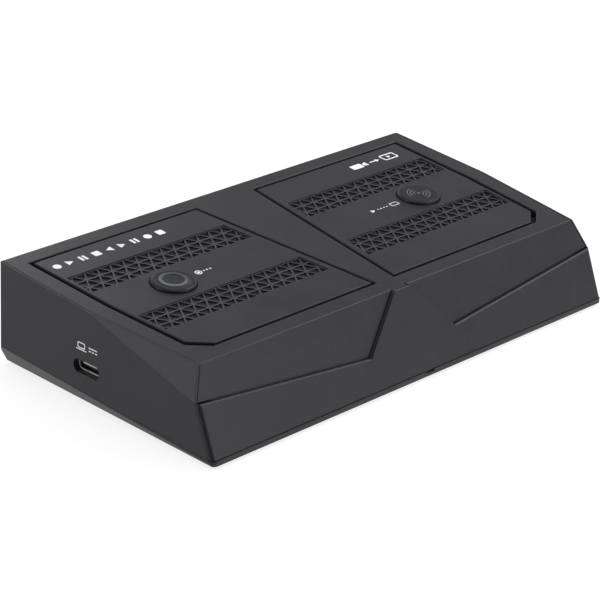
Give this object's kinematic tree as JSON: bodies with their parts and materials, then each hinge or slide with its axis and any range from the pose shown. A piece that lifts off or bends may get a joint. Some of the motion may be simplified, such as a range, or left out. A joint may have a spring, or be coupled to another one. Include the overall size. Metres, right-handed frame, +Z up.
{
  "type": "video capture box",
  "caption": "Low wedge-shaped video capture box with faceted ends, inset panels with triangulated grille bands, round push buttons, one with a light ring, and sockets in its sides.",
  "frame": {"origin": "middle of the box in plan, on the plane of the feet's undersides", "axes": "+X to the right end as seen from the front, +Y to the back, +Z up"},
  "size_m": [0.145, 0.079, 0.0289],
  "materials": {
    "cover": "fine matte texture",
    "shell": "fine matte texture",
    "panel": "fine matte texture",
    "button": "smooth satin",
    "light_guide": "frosted translucent",
    "switch_plunger": "matte",
    "switch_case": "matte",
    "lamp": "clear",
    "board": "solder mask",
    "steel": "bright",
    "cable": "smooth",
    "pale_plastic": "matte",
    "chip": "matte",
    "pad": "soft",
    "aluminium": "milled",
    "coil": "matte",
    "can": "bright",
    "jack_plastic": "matte",
    "foot_rubber": "matte"
  },
  "bodies": {
    "case": {"top_cover": "cover", "housing": "shell", "base_plate": "shell", "left_panel": "panel", "right_panel": "panel", "rec_switch": "switch_case", "ring_leds": "lamp", "stream_switch": "switch_case", "button_board": "board", "button_board_screws": "steel", "flat_cable": "cable", "cable_sockets": "pale_plastic", "main_board": "board", "capture_chip": "chip", "thermal_pad": "pad", "heat_sink": "aluminium", "memory_chips": "chip", "power_coils": "coil", "capacitors": "can", "usb_c_socket": "steel", "video_in_socket": "steel", "video_out_socket": "steel", "mic_jack": "jack_plastic", "phones_jack": "jack_plastic", "usb_host_socket": "steel", "card_slot": "steel", "case_screws": "steel", "feet": "foot_rubber"},
    "rec_button": {"rec_cap": "button", "rec_cap_center": "button", "rec_light_guide": "light_guide", "rec_plunger": "switch_plunger"},
    "stream_button": {"stream_cap": "button", "stream_plunger": "switch_plunger"}
  },
  "joints": [
    {"name": "rec_button_press", "type": "slide", "parent": "case", "child": "rec_button", "axis": [0, 0.0872, -0.9962], "range_m": [0, 0.0004], "stiffness_N_per_m": 2500, "springref_m": -0.0004},
    {"name": "stream_button_press", "type": "slide", "parent": "case", "child": "stream_button", "axis": [0, 0.0872, -0.9962], "range_m": [0, 0.0004], "stiffness_N_per_m": 2500, "springref_m": -0.0004}
  ]
}
